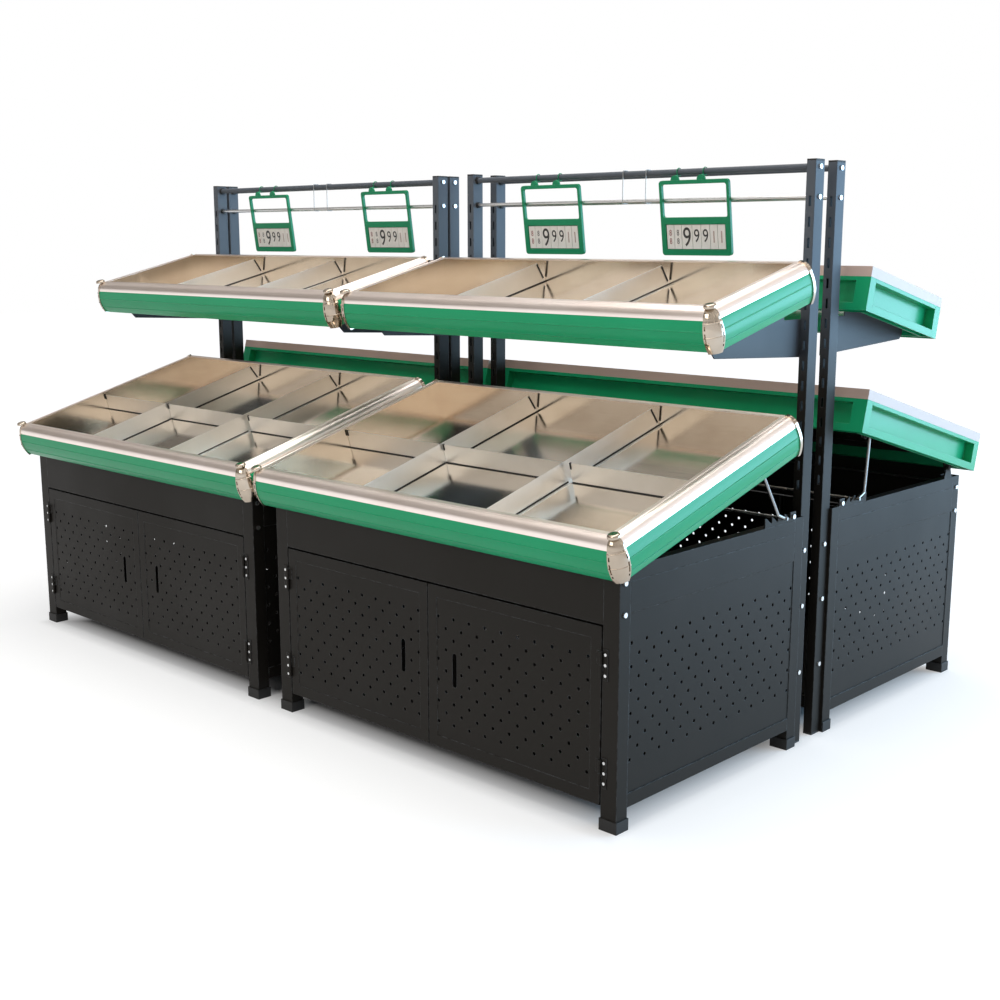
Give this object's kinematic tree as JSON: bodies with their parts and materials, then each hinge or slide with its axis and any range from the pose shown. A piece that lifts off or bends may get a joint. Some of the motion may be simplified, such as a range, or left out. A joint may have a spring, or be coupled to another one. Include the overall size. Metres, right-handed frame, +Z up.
{
  "type": "produce display rack",
  "caption": "Island of back-to-back produce display racks: tilting divided steel trays with green bumpers, raised upper trays, hanging price signs and perforated cabinets with doors.",
  "frame": {"origin": "on the floor under the middle of the island", "axes": "+X along the two bays to the right as seen from the front, +Y from the front racks to the back racks, +Z up"},
  "size_m": [2.61, 1.6999, 1.49],
  "materials": {
    "black_coat": "satin black powder coat",
    "black_plastic": "moulded black plastic",
    "stainless": "bright stainless sheet",
    "green_gloss": "glossy green",
    "trim_metal": "satin anodised extrusion",
    "chrome_caps": "bright chrome",
    "bright_steel": "bright drawn rod",
    "zinc": "bright zinc-plated heads",
    "green_sign": "green moulded plastic"
  },
  "bodies": {
    "stand": {"legs": "black_coat", "feet": "black_plastic", "frame_rails": "black_coat", "side_panels": "black_coat", "fascia_panels": "black_coat", "floor_pans": "black_coat", "door_hinges": "black_coat", "uprights": "black_coat", "upright_plugs": "black_plastic", "top_beams": "black_coat", "hanging_rails": "bright_steel", "wire_hangers": "bright_steel", "notched_racks": "black_coat", "bolts": "zinc", "shelf_brackets": "black_coat", "tray_hinge_plates": "black_coat", "upper_pans": "stainless", "upper_dividers": "stainless", "upper_trims": "trim_metal", "upper_bumpers": "green_gloss", "upper_frames": "green_gloss", "upper_corner_caps": "chrome_caps"},
    "front_left_tray": {"front_left_tray_pan": "stainless", "front_left_tray_dividers": "stainless", "front_left_tray_underframe": "black_coat", "front_left_tray_trim": "trim_metal", "front_left_tray_bumper": "green_gloss", "front_left_tray_caps": "chrome_caps"},
    "front_left_prop": {"front_left_prop": "bright_steel"},
    "front_left_left_door": {"front_left_left_door": "black_coat"},
    "front_left_right_door": {"front_left_right_door": "black_coat"},
    "front_right_tray": {"front_right_tray_pan": "stainless", "front_right_tray_dividers": "stainless", "front_right_tray_underframe": "black_coat", "front_right_tray_trim": "trim_metal", "front_right_tray_bumper": "green_gloss", "front_right_tray_caps": "chrome_caps"},
    "front_right_prop": {"front_right_prop": "bright_steel"},
    "front_right_left_door": {"front_right_left_door": "black_coat"},
    "front_right_right_door": {"front_right_right_door": "black_coat"},
    "back_left_tray": {"back_left_tray_pan": "stainless", "back_left_tray_dividers": "stainless", "back_left_tray_underframe": "black_coat", "back_left_tray_trim": "trim_metal", "back_left_tray_frame": "green_gloss"},
    "back_left_prop": {"back_left_prop": "bright_steel"},
    "back_left_left_door": {"back_left_left_door": "black_coat"},
    "back_left_right_door": {"back_left_right_door": "black_coat"},
    "back_right_tray": {"back_right_tray_pan": "stainless", "back_right_tray_dividers": "stainless", "back_right_tray_underframe": "black_coat", "back_right_tray_trim": "trim_metal", "back_right_tray_frame": "green_gloss"},
    "back_right_prop": {"back_right_prop": "bright_steel"},
    "back_right_left_door": {"back_right_left_door": "black_coat"},
    "back_right_right_door": {"back_right_right_door": "black_coat"},
    "front_left_left_sign": {"front_left_left_sign": "green_sign"},
    "front_left_right_sign": {"front_left_right_sign": "green_sign"},
    "front_right_left_sign": {"front_right_left_sign": "green_sign"},
    "front_right_right_sign": {"front_right_right_sign": "green_sign"}
  },
  "joints": [
    {"name": "front_left_tray_tilt", "type": "hinge", "parent": "stand", "child": "front_left_tray", "pos_m": [-0.655, -0.71734, 0.625], "axis": [1, 0, 0], "range_deg": [0, 8]},
    {"name": "front_left_prop_swing", "type": "hinge", "parent": "front_left_tray", "child": "front_left_prop", "pos_m": [-0.655, -0.26034, 0.76], "axis": [1, 0, 0], "range_deg": [-16, 0]},
    {"name": "front_left_left_door_swing", "type": "hinge", "parent": "stand", "child": "front_left_left_door", "pos_m": [-1.208, -0.79134, 0.266], "axis": [0, 0, -1], "range_deg": [0, 95]},
    {"name": "front_left_right_door_swing", "type": "hinge", "parent": "stand", "child": "front_left_right_door", "pos_m": [-0.102, -0.79134, 0.266], "axis": [0, 0, 1], "range_deg": [0, 95]},
    {"name": "front_right_tray_tilt", "type": "hinge", "parent": "stand", "child": "front_right_tray", "pos_m": [0.655, -0.71734, 0.625], "axis": [1, 0, 0], "range_deg": [0, 8]},
    {"name": "front_right_prop_swing", "type": "hinge", "parent": "front_right_tray", "child": "front_right_prop", "pos_m": [0.655, -0.26034, 0.76], "axis": [1, 0, 0], "range_deg": [-16, 0]},
    {"name": "front_right_left_door_swing", "type": "hinge", "parent": "stand", "child": "front_right_left_door", "pos_m": [0.102, -0.79134, 0.266], "axis": [0, 0, -1], "range_deg": [0, 95]},
    {"name": "front_right_right_door_swing", "type": "hinge", "parent": "stand", "child": "front_right_right_door", "pos_m": [1.208, -0.79134, 0.266], "axis": [0, 0, 1], "range_deg": [0, 95]},
    {"name": "back_left_tray_tilt", "type": "hinge", "parent": "stand", "child": "back_left_tray", "pos_m": [-0.655, 0.70866, 0.64], "axis": [-1, 0, 0], "range_deg": [0, 8]},
    {"name": "back_left_prop_swing", "type": "hinge", "parent": "back_left_tray", "child": "back_left_prop", "pos_m": [-0.655, 0.21466, 0.785], "axis": [-1, 0, 0], "range_deg": [-16, 0]},
    {"name": "back_left_left_door_swing", "type": "hinge", "parent": "stand", "child": "back_left_left_door", "pos_m": [-0.102, 0.78666, 0.266], "axis": [0, 0, -1], "range_deg": [0, 95]},
    {"name": "back_left_right_door_swing", "type": "hinge", "parent": "stand", "child": "back_left_right_door", "pos_m": [-1.208, 0.78666, 0.266], "axis": [0, 0, 1], "range_deg": [0, 95]},
    {"name": "back_right_tray_tilt", "type": "hinge", "parent": "stand", "child": "back_right_tray", "pos_m": [0.655, 0.75866, 0.64], "axis": [-1, 0, 0], "range_deg": [0, 8]},
    {"name": "back_right_prop_swing", "type": "hinge", "parent": "back_right_tray", "child": "back_right_prop", "pos_m": [0.655, 0.26466, 0.785], "axis": [-1, 0, 0], "range_deg": [-16, 0]},
    {"name": "back_right_left_door_swing", "type": "hinge", "parent": "stand", "child": "back_right_left_door", "pos_m": [1.208, 0.83666, 0.266], "axis": [0, 0, -1], "range_deg": [0, 95]},
    {"name": "back_right_right_door_swing", "type": "hinge", "parent": "stand", "child": "back_right_right_door", "pos_m": [0.102, 0.83666, 0.266], "axis": [0, 0, 1], "range_deg": [0, 95]},
    {"name": "front_left_left_sign_swing", "type": "hinge", "parent": "stand", "child": "front_left_left_sign", "pos_m": [-0.923, -0.02734, 1.472], "axis": [-1, 0, 0], "range_deg": [0, 30]},
    {"name": "front_left_right_sign_swing", "type": "hinge", "parent": "stand", "child": "front_left_right_sign", "pos_m": [-0.316, -0.02734, 1.472], "axis": [-1, 0, 0], "range_deg": [0, 30]},
    {"name": "front_right_left_sign_swing", "type": "hinge", "parent": "stand", "child": "front_right_left_sign", "pos_m": [0.391, -0.02734, 1.472], "axis": [-1, 0, 0], "range_deg": [0, 30]},
    {"name": "front_right_right_sign_swing", "type": "hinge", "parent": "stand", "child": "front_right_right_sign", "pos_m": [0.887, -0.02734, 1.472], "axis": [-1, 0, 0], "range_deg": [0, 30]}
  ],
  "couplings": [
    {"joint": "front_left_prop_swing", "follows": "front_left_tray_tilt", "ratio": -2},
    {"joint": "front_right_prop_swing", "follows": "front_right_tray_tilt", "ratio": -2},
    {"joint": "back_left_prop_swing", "follows": "back_left_tray_tilt", "ratio": -2},
    {"joint": "back_right_prop_swing", "follows": "back_right_tray_tilt", "ratio": -2}
  ]
}
